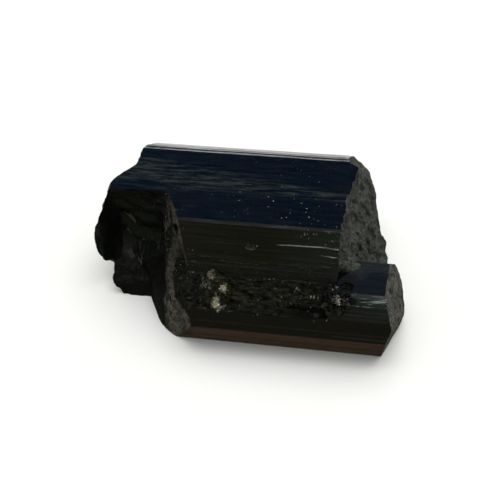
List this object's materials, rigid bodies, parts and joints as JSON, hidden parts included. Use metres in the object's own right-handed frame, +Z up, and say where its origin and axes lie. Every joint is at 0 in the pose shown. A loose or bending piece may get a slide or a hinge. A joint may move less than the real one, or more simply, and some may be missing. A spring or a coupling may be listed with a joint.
{
  "type": "black tourmaline crystal specimen",
  "caption": "Black tourmaline: parallel crystals grown together, with striated prism faces, rough broken ends, a hollow and a patch of pale mica, lying on a flat face.",
  "frame": {"origin": "middle of the underside of the specimen's box, at the level of the face it rests on", "axes": "+X along the crystals towards the end where the second crystal sticks out, +Y from the second crystal's side to the back of the main crystal, +Z up"},
  "size_m": [0.0634, 0.042, 0.0263],
  "materials": {
    "schorl": "vitreous, finely striated prism faces; dull, pitted breaks; opaque black with a blue to olive tint",
    "mica": "pearly, flaky, pale beige to grey grains"
  },
  "bodies": {
    "root": {"tourmaline_crystal": "schorl", "mica_patch": "mica"}
  },
  "joints": []
}
